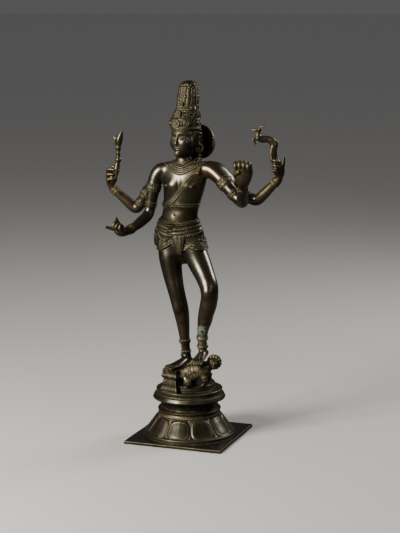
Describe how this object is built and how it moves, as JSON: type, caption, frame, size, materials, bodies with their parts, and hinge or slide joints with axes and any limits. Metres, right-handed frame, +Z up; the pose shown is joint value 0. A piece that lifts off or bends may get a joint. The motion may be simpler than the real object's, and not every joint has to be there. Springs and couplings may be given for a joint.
{
  "type": "shiva figure",
  "caption": "Standing four-armed bronze deity with battle axe and leaping antelope, one foot on a crouching dwarf, on a round down-turned lotus pedestal with a square foot plate",
  "frame": {"origin": "middle of the underside of the square foot plate, which rests on the ground", "axes": "+Z up through the neck of the pedestal, the figure faces -Y, its left side is towards +X"},
  "size_m": [0.2847, 0.1624, 0.5401],
  "materials": {
    "figure_bronze": "dark brown patinated cast bronze, worn golden on the reliefs",
    "pedestal_bronze": "dark olive-brown patinated cast bronze, polished on the petals"
  },
  "bodies": {
    "root": {"figure": "figure_bronze", "lotus_pedestal": "pedestal_bronze"}
  },
  "joints": []
}
